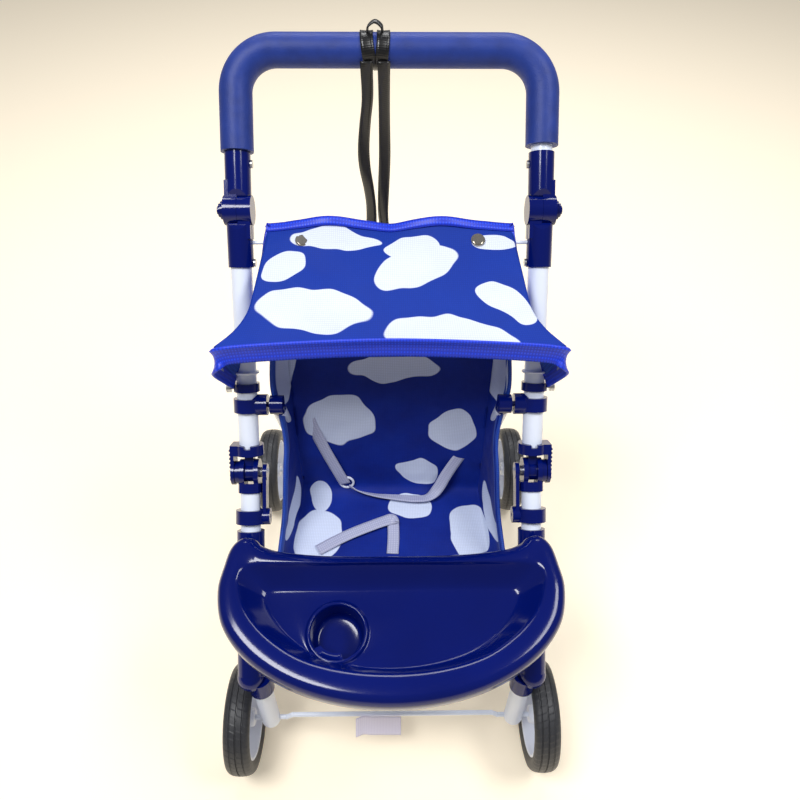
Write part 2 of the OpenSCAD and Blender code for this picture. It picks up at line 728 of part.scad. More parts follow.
// ---- Canopy
module canopy_hoop() {
    tip = [half_w + hoop_x + 1, hoop_y, hoop_z];
    half = [tip + [0.3, -1, 3], [hoop_half + 1, hoop_y - 9, hoop_z + 26], [hoop_half - 1, front_line[0] - 3, front_line[1] - 12],
        [hoop_half - 8, front_line[0] - 4, front_line[1] - 3], [hoop_half - 26, front_line[0] - 2, front_line[1]]];
    points = concat(half, [[0, front_line[0], front_line[1] + 4]], mirrored(half));
    color("silver") difference() {
        union() {
            place() swept(rounded(points, 5, 3), hoop_d, hoop_d, 12, [1, 0.1, 0]);
            for (side = [-1, 1]) upper_frame(side) translate([0, 0, hoop_s]) x_cylinder(eye_r, hoop_x - 1, hoop_x + 3);
        }
        for (side = [-1, 1]) upper_frame(side) translate([0, 0, hoop_s]) x_cylinder(2 + run_gap, hoop_x - 4, hoop_x + 6);
    }
}

module canopy_cover() {
    color("royalblue") place() translate([0, front_line[0], front_line[1]]) rotate([canopy_tilt, 0, 0])
        translate([0, 0, cover_lift]) linear_extrude(fabric_t) polygon([
            [-hoop_half, -5], [hoop_half, -5], [canopy_rear_w / 2, canopy_len + 2], [-canopy_rear_w / 2, canopy_len + 2]
        ]);
}

// ---- Rear legs
module rear_leg(side) {
    color("white") difference() {
        union() {
            on_side(side) rod(rear_start, rear_knee, rear_r);
            on_side(side) translate(rear_knee) sphere(r = rear_r + knuckle);
            on_side(side) rod(rear_knee, rear_foot, rear_r);
            on_side(side) translate(rear_foot) sphere(r = rear_r + knuckle);
        }
        on_side(side) translate([0, wheel_base, wheel_r]) x_cylinder(rod_r + seat_gap, rear_foot_x - 20, rear_foot_x + 20);
        on_side(side) along(rear_knee, rear_foot) translate([0, 0, 2])
            cylinder(r = rear_r - tube_wall, h = norm(rear_foot - rear_knee) - 12);
        on_side(side) along(rear_knee, rear_top) translate([0, 0, 2])
            cylinder(r = rear_r - tube_wall, h = rear_bend);
    }
}

// Moulded ends of the rear legs: a plug in the tube, and a boss whose pin turns in the clamp
module rear_leg_ends() {
    color("navy") for (side = [-1, 1]) {
        on_side(side) translate([half_w, clamp_y, clamp_z]) {
            x_cylinder(9, leg_boss[1], leg_boss[0]);
            x_cylinder(leg_pin_r, leg_boss[0] - 1, -tube_r - 1);
        }
        on_side(side) along(rear_top, rear_knee) {
            cylinder(r = rear_r, h = rear_end - seat_gap);
            cylinder(r = rear_r - tube_wall - seat_gap, h = rear_end + 10);
        }
    }
}

module rear_axle() {
    end = rear_track / 2 + hub_half + axle_past;
    color("white") place() translate([0, wheel_base, wheel_r]) x_cylinder(rod_r, -end, end);
}

// ---- Wheels. Local +Z is the wheel's axis, pointing away from the stroller
module wheel_frame(side, y, track) on_side(side) translate([track / 2, y, wheel_r]) rotate([0, 90, 0]) children();

module tyre(side, y, track) {
    rim_r = rim_d / 2 + 0.05;
    shoulder = 7;
    half = tyre_w / 2;
    color("black") wheel_frame(side, y, track) rotate_extrude() polygon(concat(
        [[rim_r, half - 3], [rim_r, -half + 3]],
        arc(wheel_r - shoulder, -half + shoulder, shoulder, shoulder, 270, 340, 6),
        arc(wheel_r - shoulder, half - shoulder, shoulder, shoulder, 20, 90, 6)
    ));
}

module rim(side, y, track) {
    ring_r = rim_d / 2;
    color("white") wheel_frame(side, y, track) difference() {
        union() {
            tube(ring_r, ring_r - 3, -10, 10);
            translate([0, 0, 4]) cylinder(r = ring_r - 1, h = 2.5);
            translate([0, 0, -hub_half]) cylinder(r = 8, h = 2 * hub_half);
            for (a = [0 : 45 : 315]) rotate([0, 0, a]) translate([6, -1, -4]) cube([ring_r - 8, 2, 9]);
        }
        translate([0, 0, -hub_half - 1]) cylinder(r = rod_r + run_gap, h = 2 * hub_half + 2);
    }
}

lower_tube(-1);  // lower_tube_left
lower_tube(1);  // lower_tube_right
leg_socket(-1);  // leg_socket_left
leg_socket(1);  // leg_socket_right
front_leg(-1);  // front_leg_left
front_leg(1);  // front_leg_right
front_axle();
axle_caps(0, front_track);  // front_axle_caps
fold_bracket(-1);  // fold_bracket_left
fold_bracket(1);  // fold_bracket_right
fold_pins();
lower_collar(-1);  // lower_collar_left
lower_collar(1);  // lower_collar_right
tray();
seat_rod();
seat_board();
seat_cover();
shoulder_harness();
harness_ring();
crotch_strap();
label_tag();
upper_tube(-1);  // upper_tube_left
upper_tube(1);  // upper_tube_right
fold_tongues();
upper_clamp(-1);  // upper_clamp_left
upper_clamp(1);  // upper_clamp_right
lower_sleeve(-1);  // lower_sleeve_left
lower_sleeve(1);  // lower_sleeve_right
cross_rod();
lower_sleeve_screws();
elastic_loops();
canopy_clips();
canopy_snaps();
lock_slide(-1);  // lock_slide_left
lock_slide(1);  // lock_slide_right
upper_sleeve(-1);  // upper_sleeve_left
upper_sleeve(1);  // upper_sleeve_right
handle_tube();
foam_grip();
upper_sleeve_screws();
strap_hitch();
strap_tail(0);  // strap_tail_left
strap_tail(1);  // strap_tail_right
flip_button(-1);  // flip_button_left
flip_button(1);  // flip_button_right
canopy_hoop();
canopy_cover();
rear_leg(-1);  // rear_leg_left
rear_leg(1);  // rear_leg_right
rear_leg_ends();
rear_axle();
axle_caps(wheel_base, rear_track);  // rear_axle_caps
tyre(-1, 0, front_track);  // tyre_front_left
rim(-1, 0, front_track);  // rim_front_left
tyre(1, 0, front_track);  // tyre_front_right
rim(1, 0, front_track);  // rim_front_right
tyre(-1, wheel_base, rear_track);  // tyre_rear_left
rim(-1, wheel_base, rear_track);  // rim_rear_left
tyre(1, wheel_base, rear_track);  // tyre_rear_right
rim(1, wheel_base, rear_track);  // rim_rear_right
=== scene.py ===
import json
import math

import bmesh
import bpy
from mathutils import Matrix, Vector, noise


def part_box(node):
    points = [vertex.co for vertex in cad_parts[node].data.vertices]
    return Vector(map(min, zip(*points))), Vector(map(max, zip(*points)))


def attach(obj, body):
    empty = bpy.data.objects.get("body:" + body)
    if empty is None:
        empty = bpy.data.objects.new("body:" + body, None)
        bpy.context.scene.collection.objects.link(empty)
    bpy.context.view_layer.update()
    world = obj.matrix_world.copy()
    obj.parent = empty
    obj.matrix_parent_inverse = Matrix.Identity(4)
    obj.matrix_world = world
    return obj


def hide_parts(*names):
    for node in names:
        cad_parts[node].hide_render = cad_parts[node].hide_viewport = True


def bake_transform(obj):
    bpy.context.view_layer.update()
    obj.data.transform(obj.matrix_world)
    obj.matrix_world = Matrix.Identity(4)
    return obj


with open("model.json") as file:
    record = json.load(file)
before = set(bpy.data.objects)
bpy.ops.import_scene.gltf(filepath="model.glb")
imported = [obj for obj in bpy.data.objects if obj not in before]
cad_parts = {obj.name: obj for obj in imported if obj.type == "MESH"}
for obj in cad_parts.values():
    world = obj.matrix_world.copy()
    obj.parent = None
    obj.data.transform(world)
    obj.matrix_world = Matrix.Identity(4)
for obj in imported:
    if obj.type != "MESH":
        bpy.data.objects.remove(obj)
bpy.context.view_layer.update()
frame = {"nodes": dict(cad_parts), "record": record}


# ---- Camera
# An eye-height view that looks steeply down on the stroller from in front of it, a little
# to the left of its middle.
front_axle_low, front_axle_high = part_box("front_axle")
AXLE_Y = (front_axle_low.y + front_axle_high.y) / 2


def at(x, y, z):
    """A point in millimetres, measured back from the front axle and up from the floor."""
    return Vector((x / 1000, y / 1000 + AXLE_Y, z / 1000))


turn = Matrix.Rotation(math.radians(-1.26), 3, "Z")
drop = math.radians(48.7)
view_dir = turn @ Vector((0, math.cos(drop), -math.sin(drop)))
view_up = turn @ Vector((0, math.sin(drop), math.cos(drop)))
roll = Matrix.Rotation(math.radians(-0.69), 3, view_dir)
lens = bpy.data.cameras.new("camera")
lens.lens, lens.sensor_width = 31.32, 36
eye = bpy.data.objects.new("camera", lens)
bpy.context.scene.collection.objects.link(eye)
EYE_PLACE = at(-1, -229, 807)
eye.matrix_world = Matrix.Translation(EYE_PLACE) @ Matrix((
    view_dir.cross(view_up) @ roll.transposed(), roll @ view_up, -view_dir)).transposed().to_4x4()
bpy.context.scene.camera = eye
# Colours show as they are set, without a film-like curve
bpy.context.scene.view_settings.view_transform = "Standard"


# ---- Floor and light
# A plain cream floor under large soft lamps, as in a lit studio.
def linear(colour):
    """An sRGB hex colour as a linear one with full alpha."""
    parts = [int(colour[i:i + 2], 16) / 255 for i in (1, 3, 5)]
    return [p / 12.92 if p <= 0.04045 else ((p + 0.055) / 1.055) ** 2.4 for p in parts] + [1]


def add(tree, kind, links=None, **settings):
    """One node, with its settings, and its sockets set to values or linked to other sockets."""
    made = tree.nodes.new(kind)
    for name, value in settings.items():
        setattr(made, name, value)
    for socket, value in (links or {}).items():
        if isinstance(value, bpy.types.NodeSocket):
            tree.links.new(value, made.inputs[socket])
        else:
            made.inputs[socket].default_value = value
    return made


def finish(name, shader):
    """A new material whose shader's sockets are set from the values and nodes that are given."""
    made = bpy.data.materials.new(name)
    made.use_nodes = True
    made.node_tree.nodes.clear()
    surface = add(made.node_tree, "ShaderNodeBsdfPrincipled", shader(made.node_tree))
    add(made.node_tree, "ShaderNodeOutputMaterial", {"Surface": surface.outputs[0]})
    return made


paper_floor = finish("matte_paper_backdrop", lambda tree: {
    "Base Color": linear("#fff3dc"), "Roughness": 0.95, "Specular IOR Level": 0.05,
    "Emission Color": linear("#fff0d4"), "Emission Strength": 0.2})
bpy.ops.mesh.primitive_plane_add(size=60)
floor = bpy.context.object
floor.name = "floor"
floor.data.materials.append(paper_floor)
world = bpy.data.worlds.new("studio")
bpy.context.scene.world = world
world.use_nodes = True
world.node_tree.nodes["Background"].inputs["Color"].default_value = linear("#f4f6ff")
world.node_tree.nodes["Background"].inputs["Strength"].default_value = 0.2
for name, place, size, power in [
    ("key", (-0.7, -0.5, 2.1), (0.9, 0.5), 30),
    ("fill", (1.1, -0.2, 1.9), (0.9, 0.5), 18),
    ("back", (0.1, 1.3, 1.7), (1.4, 0.4), 15),
]:
    lamp = bpy.data.lights.new(name, "AREA")
    lamp.shape, lamp.size, lamp.size_y, lamp.energy = "RECTANGLE", size[0], size[1], power
    hung = bpy.data.objects.new(name, lamp)
    bpy.context.scene.collection.objects.link(hung)
    hung.matrix_world = Matrix.Translation(place) @ (
        Vector(place) - Vector((0, 0, 0.25))).to_track_quat("Z", "Y").to_matrix().to_4x4()


# ---- Strap on the grip
# Flat black tape, folded double and pulled through its own loop over the grip, so that two
# wraps hold it and two bare ends hang behind the canopy.
def spline(a, b, c, d, t):
    """A point between b and c on the smooth curve that runs through all four."""
    return ((2 * b) + (c - a) * t + (2 * a - 5 * b + 4 * c - d) * t * t
            + (3 * b - a - 3 * c + d) * t ** 3) / 2


def smooth_path(points, per_span):
    """Points on a smooth curve through the given points, per_span to each span."""
    ends = [points[0] * 2 - points[1], *points, points[-1] * 2 - points[-2]]
    made = []
    for a, b, c, d in zip(ends, ends[1:], ends[2:], ends[3:]):
        made += [spline(a, b, c, d, i / per_span) for i in range(per_span)]
    return [*made, points[-1]]


def surface(columns, rows, place, chart, closed=False):
    """A grid whose points go where place puts them and whose UVs are in metres of cloth."""
    bm = bmesh.new()
    uv = bm.loops.layers.uv.new("UVMap")
    bmesh.ops.create_grid(bm, x_segments=columns, y_segments=rows, size=0.5)
    spot = {v: (v.co.x + 0.5, v.co.y + 0.5) for v in bm.verts}
    for face in bm.faces:
        for corner in face.loops:
            corner[uv].uv = chart(*spot[corner.vert])
    for v, st in spot.items():
        v.co = place(*st)
    if closed:
        bmesh.ops.remove_doubles(bm, verts=bm.verts, dist=1e-6)
    return bm


def ribbon(points, across, width, columns=4, crown=0.0):
    """Flat tape along points, with a direction across it at each point, bowed by crown."""
    run = [0.0]
    for a, b in zip(points, points[1:]):
        run.append(run[-1] + (b - a).length)
    last = len(points) - 1

    def place(s, t):
        i = round(t * last)
        ahead = (points[min(i + 1, last)] - points[max(i - 1, 0)]).normalized()
        side = (across[i] - ahead * across[i].dot(ahead)).normalized()
        bow = crown * (1 - (2 * s - 1) ** 2)
        return points[i] + side * (s - 0.5) * width + ahead.cross(side) * bow

    return surface(columns, last, place, lambda s, t: ((s - 0.5) * width, run[round(t * last)]))


def piece(name, bm, body, materials, stands_for=(), thick=0.0, crease=50):
    """Turns a bmesh into a named piece that rides on a body, with a wall where one is given."""
    bmesh.ops.recalc_face_normals(bm, faces=bm.faces)
    mesh = bpy.data.meshes.new(name)
    bm.to_mesh(mesh)
    bm.free()
    mesh.shade_smooth()
    mesh.set_sharp_from_angle(angle=math.radians(crease))
    made = bpy.data.objects.new(name, mesh)
    bpy.context.scene.collection.objects.link(made)
    for material in materials:
        mesh.materials.append(material)
    if thick:
        wall = made.modifiers.new("wall", "SOLIDIFY")
        wall.thickness, wall.offset, wall.use_even_offset = abs(thick), (-1 if thick > 0 else 0), True
        if len(materials) > 1:
            wall.material_offset = 1
    if body:
        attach(made, body)
    if stands_for:
        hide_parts(*stands_for)
    return made


def black_tape_shader(tree):
    where = add(tree, "ShaderNodeUVMap").outputs[0]
    # Ribs 1.7 mm apart across the tape, drawn coarser than the real ones so that they show
    ribs = add(tree, "ShaderNodeTexWave", {"Vector": where, "Scale": 180, "Distortion": 0.4},
               bands_direction="Y").outputs["Fac"]
    bump = add(tree, "ShaderNodeBump", {"Height": ribs, "Strength": 0.25, "Distance": 0.0003})
    grey = add(tree, "ShaderNodeMix", {"Factor": ribs, 6: linear("#050506"), 7: linear("#0e0e10")},
               data_type="RGBA")
    return {"Base Color": grey.outputs[2], "Roughness": 0.3, "Normal": bump.outputs[0],
            "Sheen Weight": 0.05, "Coat Weight": 0.15, "Coat Roughness": 0.25}


black_tape = finish("coated_polyester_tape", black_tape_shader)
GRIP_R = 14.5
BAR_Y, BAR_Z = 402.15, 551.42
TAPE_W, TAPE_T = 11, 1.4
hang_y = BAR_Y - (GRIP_R + 1) - TAPE_T - 0.4
tail_routes = {
    "left": (-20, [(0, 0, -2), (0, 0, -10), (0, 1, -35), (-3, 2, -60), (-5, 3, -85), (-4, 3, -105),
                   (-1, 2, -125), (1, 1, -145), (1, 0, -165), (0, 0, -182)]),
    "right": (-5, [(0, 0, -2), (0, 0, -10), (0, 1, -35), (0, 1, -60), (0, 0, -90), (-1, 0, -120),
                   (-2, 0, -150), (-1, 1, -170), (0, 2, -190)]),
}
for side, (x, route) in tail_routes.items():
    points = smooth_path([at(x + a, hang_y + b, BAR_Z + c) for a, b, c in route], 4)
    turns = [0.5 * math.sin(i * 0.17) for i in range(len(points))]
    twist = [Vector((math.cos(k), math.sin(k), 0)) for k in turns]
    tail = piece(f"strap_end_{side}", ribbon(points, twist, TAPE_W / 1000, crown=0.0006), "push_handle",
                 [black_tape], [f"strap_tail_{side}"], -TAPE_T / 1000)
    run = sum((b - a).length for a, b in zip(points, points[1:]))
    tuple(points[0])

wraps = bmesh.new()
for x, lean in ((-20, 0.16), (-5, -0.12)):
    ring = []
    for i in range(41):
        a = math.radians(90 - 9 * i)
        r = GRIP_R + 0.9
        ring.append(at(x + lean * 14 * (1 - math.sin(a)),
                       BAR_Y + r * math.cos(a), BAR_Z + r * math.sin(a)))
    part = ribbon(ring, [Vector((1, 0, 0))] * 41, 0.0112, crown=0.0004)
    spare = bpy.data.meshes.new("wrap")
    part.to_mesh(spare)
    part.free()
    wraps.from_mesh(spare)
bight = smooth_path([at(-19, BAR_Y, BAR_Z + 15.6), at(-18, BAR_Y + 1, BAR_Z + 20),
                     at(-12.5, BAR_Y + 2, BAR_Z + 23.2), at(-7, BAR_Y + 1, BAR_Z + 20),
                     at(-6, BAR_Y, BAR_Z + 15.6)], 8)
part = ribbon(bight, [Vector((0.15, 1, 0.1))] * len(bight), 0.0055, crown=0.0003)
spare = bpy.data.meshes.new("bight")
part.to_mesh(spare)
part.free()
wraps.from_mesh(spare)
piece("strap_wraps", wraps, "push_handle", [black_tape], ["strap_hitch"], -0.0013)


# ---- Tubes and axles
# Thin-walled steel tube and rod, bent and powder coated white after bending.
def powder_coat_shader(tree):
    where = add(tree, "ShaderNodeTexCoord").outputs["Object"]
    # Orange peel about 1.5 mm across, and faint handling marks a few centimetres long
    peel = add(tree, "ShaderNodeTexNoise", {"Vector": where, "Scale": 650, "Detail": 2}).outputs["Fac"]
    marks = add(tree, "ShaderNodeTexNoise",
                {"Vector": where, "Scale": 22, "Detail": 4, "Roughness": 0.6}).outputs["Fac"]
    tone = add(tree, "ShaderNodeMix", {"Factor": marks, 6: linear("#eef4ff"), 7: linear("#e2ebff")},
               data_type="RGBA")
    rough = add(tree, "ShaderNodeMapRange", {"Value": marks, "To Min": 0.24, "To Max": 0.4})
    bump = add(tree, "ShaderNodeBump", {"Height": peel, "Strength": 0.08, "Distance": 0.0004})
    return {"Base Color": tone.outputs[2], "Roughness": rough.outputs[0], "Normal": bump.outputs[0],
            "IOR": 1.5, "Coat Weight": 0.25, "Coat Roughness": 0.15}


powder_white = finish("white_powder_coated_steel", powder_coat_shader)


frame_slots = {s["node"]: s["material_slot"] for s in frame["record"]["subparts"]}
by_slot = {}
for n, s in frame_slots.items():
    by_slot.setdefault(s, []).append(n)


def dress(material, *nodes):
    """Gives CAD nodes their material."""
    for n in nodes:
        held = frame["nodes"][n]
        for k in range(max(1, len(held.material_slots))):
            if not held.material_slots:
                held.data.materials.append(material)
            held.material_slots[k].material = material


dress(powder_white, *by_slot["powder_white"])


# ---- Joint mouldings, clamps, sleeves and sockets
# Glossy injection-moulded ABS in dark navy, pressed or screwed onto the tubes.
def navy_shader(tree):
    where = add(tree, "ShaderNodeTexCoord").outputs["Object"]
    # Moulding flow a few centimetres long, and a fine haze about 1 mm across
    flow = add(tree, "ShaderNodeTexNoise", {"Vector": where, "Scale": 14, "Detail": 3}).outputs["Fac"]
    dust = add(tree, "ShaderNodeTexNoise",
               {"Vector": where, "Scale": 900, "Detail": 2, "Roughness": 0.7}).outputs["Fac"]
    tone = add(tree, "ShaderNodeMix", {"Factor": flow, 6: linear("#021468"), 7: linear("#010e56")},
               data_type="RGBA")
    rough = add(tree, "ShaderNodeMapRange",
                {"Value": dust, "From Min": 0.3, "From Max": 0.8, "To Min": 0.1, "To Max": 0.2})
    bump = add(tree, "ShaderNodeBump", {"Height": flow, "Strength": 0.1, "Distance": 0.002})
    return {"Base Color": tone.outputs[2], "Roughness": rough.outputs[0], "Normal": bump.outputs[0],
            "IOR": 1.53, "Specular IOR Level": 0.3, "Coat Weight": 0.1, "Coat Roughness": 0.05}


navy_abs = finish("navy_moulded_abs", navy_shader)
dress(navy_abs, *by_slot["navy_plastic"])


# ---- Screws, pins, seat rod, hoop and snaps
# Zinc-plated steel screws and wire, and nickel-plated snap caps.
def plated_shader(light, dark, rough_from, rough_to):
    def shader(tree):
        where = add(tree, "ShaderNodeTexCoord").outputs["Object"]
        blot = add(tree, "ShaderNodeTexNoise", {"Vector": where, "Scale": 260, "Detail": 3}).outputs["Fac"]
        tone = add(tree, "ShaderNodeMix", {"Factor": blot, 6: linear(light), 7: linear(dark)},
                   data_type="RGBA")
        rough = add(tree, "ShaderNodeMapRange", {"Value": blot, "To Min": rough_from, "To Max": rough_to})
        return {"Base Color": tone.outputs[2], "Metallic": 1.0, "Roughness": rough.outputs[0]}
    return shader


zinc = finish("zinc_plated_steel", plated_shader("#c9cacf", "#a5a6ab", 0.25, 0.45))
nickel = finish("nickel_plated_snap", plated_shader("#d8d2c6", "#b7b0a4", 0.18, 0.3))
dress(zinc, *by_slot["steel"])
dress(nickel, *by_slot["nickel"])


# ---- Foam grip
# A closed-cell foam sleeve pushed over the bent handle tube, dyed blue, with a soft skin that
# is slightly pebbled and catches light along its top.
def foam_shader(tree):
    where = add(tree, "ShaderNodeTexCoord").outputs["Object"]
    # Pebbled skin about 1 mm across, with broad soft dents
    cells = add(tree, "ShaderNodeTexVoronoi", {"Vector": where, "Scale": 900}).outputs["Distance"]
    dents_and_shade = add(tree, "ShaderNodeTexNoise", {"Vector": where, "Scale": 60, "Detail": 3}).outputs["Fac"]
    # Painted shade and painted light: the colour runs from a shaded blue in the dents to a lit blue on the
    # raised skin, following the same noise as the dents' bump
    tone = add(tree, "ShaderNodeMix", {"Factor": dents_and_shade, 6: linear("#10266a"), 7: linear("#1e3c96")},
               data_type="RGBA")
    bump = add(tree, "ShaderNodeBump", {"Height": cells, "Strength": 0.25, "Distance": 0.0004})
    soft = add(tree, "ShaderNodeBump", {"Height": dents_and_shade, "Strength": 0.3, "Distance": 0.002,
                                        "Normal": bump.outputs[0]})
    return {"Base Color": tone.outputs[2], "Roughness": 0.5, "Normal": soft.outputs[0],
            "Specular IOR Level": 0.35, "Sheen Weight": 0.06, "Sheen Roughness": 0.5}


foam = finish("blue_closed_cell_foam", foam_shader)
dress(foam, "foam_grip")


# ---- Tray
# One ABS moulding with a thick rolled rim whose two horns wrap outside the tubes, a shallow
# sloping recess and a round cup well at its left.
TRAY_TILT = math.radians(7.9)
TRAY_MIDDLE_Y, TRAY_TOP_Z = 51, 238.2
# From the middle of the front round to the middle of the back, half a turn
rim_points = [(0, -97), (48, -92.3), (91, -78.5), (125, -57), (147.4, -30), (155, 0), (152, 24),
              (147.5, 41), (138, 50.5), (126, 49.5), (117.5, 42.5), (100, 37), (60, 33), (0, 32)]
lip_points = [(0, -71.5), (42, -68), (79, -57.5), (108, -39), (127, -18), (135, 3), (135, 13), (132, 18.5),
              (128, 21), (123, 22), (117, 22.3), (100, 22.5), (60, 22.5), (0, 22.5)]
floor_points = [(0, -64), (35, -61), (66, -52), (89, -37), (104, -19), (112, -4), (112, 0), (110, 2.5),
                (107, 3.6), (103, 4), (98, 4.2), (84, 4.3), (50, 4.3), (0, 4.3)]
PER_SPAN = 8


def all_round(half):
    both = half + [(-x, y) for x, y in half[-2:0:-1]]
    size = len(both)
    flat = [Vector((x, y, 0)) for x, y in both]
    made = []
    for i in range(size):
        span = [flat[(i + k) % size] for k in (-1, 0, 1, 2)]
        made += [spline(*span, k / PER_SPAN) for k in range(PER_SPAN)]
    return made


rim_line, lip_line, floor_line = all_round(rim_points), all_round(lip_points), all_round(floor_points)
AROUND = len(rim_line)
cup_middle = Vector((-48, -33, 0))


def inset_rim(j, by):
    ahead = rim_line[(j + 1) % AROUND] - rim_line[j - 1]
    return rim_line[j] + Vector((-ahead.y, ahead.x, 0)).normalized() * by


def mixed(a, b, t):
    return lambda j: a(j).lerp(b(j), t)


def out(by):
    return lambda j: inset_rim(j, by)


def lip(j):
    return lip_line[j]


def sunk(j):
    return floor_line[j]


def cup(radius):
    return lambda j: cup_middle + (floor_line[j] - cup_middle).normalized() * radius


tray_rings = [(out(1.5), -22), (out(0.4), -21.6), (out(0), -20.5), (out(0), -15), (out(0.2), -10),
              (out(0.9), -6.6), (out(2.4), -3.6), (out(4.6), -1.5), (out(7.2), -0.3), (out(8.6), 0.1),
              (mixed(out(8.6), lip, 0.35), 0.5), (mixed(out(8.6), lip, 0.7), 0.1),
              (mixed(out(8.6), lip, 0.9), -0.6), (lip, -1.8), (mixed(lip, sunk, 0.08), -3.6),
              (mixed(lip, sunk, 0.25), -7.4), (mixed(lip, sunk, 0.5), -12.4),
              (mixed(lip, sunk, 0.72), -16.5), (mixed(lip, sunk, 0.88), -18.9),
              (mixed(lip, sunk, 1.0), -20), (mixed(sunk, cup(29), 0.1), -20.3),
              (mixed(sunk, cup(29), 0.6), -20.3), (cup(29), -20.3), (cup(27.8), -19.8),
              (cup(27.2), -18.6), (cup(26.4), -17.4), (cup(25.2), -17), (cup(24.2), -17.4),
              (cup(23.6), -18.6), (cup(23.2), -21), (cup(21.6), -36), (cup(21), -40), (cup(19.6), -42.2),
              (cup(17.4), -43), (cup(9), -43.2), (cup(0), -43.2),]
tilt = Matrix.Rotation(TRAY_TILT, 3, "X")


def tray_place(s, t):
    ring, height = tray_rings[round(t * (len(tray_rings) - 1))]
    p = ring(round(s * AROUND) % AROUND)
    p = tilt @ Vector((p.x, p.y, height))
    return at(p.x, p.y + TRAY_MIDDLE_Y, p.z + TRAY_TOP_Z)


piece("play_tray", surface(AROUND, len(tray_rings) - 1, tray_place, lambda s, t: (s, t), closed=True),
             "front_frame", [navy_abs], ["tray"], 0.0022, crease=70)


# ---- Tyres
# Moulded black EVA foam with shallow grooves round the tread and slanted sipes, pushed over
# the rims.
def tyre_shader(tree):
    where = add(tree, "ShaderNodeUVMap").outputs[0]
    # Slanted sipes 6 mm apart on both halves of the tread
    skew = add(tree, "ShaderNodeMapping", {"Vector": where, "Rotation": (0, 0, math.radians(24))})
    sipes = add(tree, "ShaderNodeTexWave", {"Vector": skew.outputs[0], "Scale": 52, "Distortion": 0},
                bands_direction="X", wave_profile="SAW").outputs["Fac"]
    cut = add(tree, "ShaderNodeMapRange", {"Value": sipes, "From Min": 0.0, "From Max": 0.2})
    coords = add(tree, "ShaderNodeTexCoord").outputs["Object"]
    grain = add(tree, "ShaderNodeTexNoise", {"Vector": coords, "Scale": 700, "Detail": 3}).outputs["Fac"]
    bump = add(tree, "ShaderNodeBump", {"Height": cut.outputs[0], "Strength": 0.5, "Distance": 0.0006})
    fine = add(tree, "ShaderNodeBump", {"Height": grain, "Strength": 0.15, "Distance": 0.0003,
                                        "Normal": bump.outputs[0]})
    tone = add(tree, "ShaderNodeMix", {"Factor": grain, 6: linear("#2a2b2e"), 7: linear("#3a3b3f")},
               data_type="RGBA")
    return {"Base Color": tone.outputs[2], "Roughness": 0.46, "Normal": fine.outputs[0]}


tyre_eva = finish("black_eva_foam_tyre", tyre_shader)


def white_moulding_shader(tree):
    where = add(tree, "ShaderNodeTexCoord").outputs["Object"]
    flow = add(tree, "ShaderNodeTexNoise", {"Vector": where, "Scale": 40, "Detail": 3}).outputs["Fac"]
    tone = add(tree, "ShaderNodeMix", {"Factor": flow, 6: linear("#eef2fd"), 7: linear("#e0e6f6")},
               data_type="RGBA")
    rough = add(tree, "ShaderNodeMapRange", {"Value": flow, "To Min": 0.28, "To Max": 0.42})
    return {"Base Color": tone.outputs[2], "Roughness": rough.outputs[0], "IOR": 1.49,
            "Subsurface Weight": 0.05, "Subsurface Radius": (0.002, 0.002, 0.002)}


white_pp = finish("white_moulded_polypropylene", white_moulding_shader)
dress(white_pp, *by_slot["white_plastic"])

tread = [(40.1, -10), (44, -12.2), (47.5, -12.9), (50.2, -12.2), (51.6, -10.8), (52.6, -9), (53.3, -7),
         (52.6, -6.4), (52.6, -5.8), (53.6, -5.2), (54, -0.9), (53, -0.5), (53, 0.5), (54, 0.9),
         (53.6, 5.2), (52.6, 5.8), (52.6, 6.4), (53.3, 7), (52.6, 9), (51.6, 10.8), (50.2, 12.2),
         (47.5, 12.9), (44, 12.2), (40.1, 10)]
barrel = [(40, 10), (40, -10), (39, -10.6), (37.6, -10), (37, -7), (36.6, 0), (35.5, 3), (33, 4.4),
          (14, 5.2), (10.5, 3), (9.4, -2), (8.6, -8.6), (7.6, -9.6), (3.2, -9.6)]
barrel_out = [(3.2, 9.8), (7.6, 9.8), (8.6, 8.8), (10, 8), (14, 7.6), (33, 6.9), (36, 7.4), (37.6, 9.4),
              (39, 10.3), (40, 10)]


SPOKES, TREAD_R = 8, 0.054


def spun(profile, steps=96):
    """A closed shape from a profile of radius and offset, turned about the wheel's axis."""
    bm = bmesh.new()
    uv = bm.loops.layers.uv.new("UVMap")
    ring = [bm.verts.new((0, 0, 0)) for _ in profile]
    for v, (r, x) in zip(ring, profile):
        v.co = (x / 1000, 0, r / 1000)
    edges = [bm.edges.new(pair) for pair in zip(ring, ring[1:])]
    bmesh.ops.spin(bm, geom=ring + edges, cent=(0, 0, 0), axis=(1, 0, 0), angle=math.tau, steps=steps,
                   use_merge=True)
    bmesh.ops.remove_doubles(bm, verts=bm.verts, dist=1e-6)
    for face in bm.faces:
        middle = face.calc_center_median()
        base = math.atan2(middle.y, middle.z)
        for corner in face.loops:
            p = corner.vert.co
            off = math.remainder(math.atan2(p.y, p.z) - base, math.tau)
            corner[uv].uv = ((base + off) * TREAD_R, p.x + (p.yz.length - 0.05) * (1 if p.x > 0 else -1))
    return bm


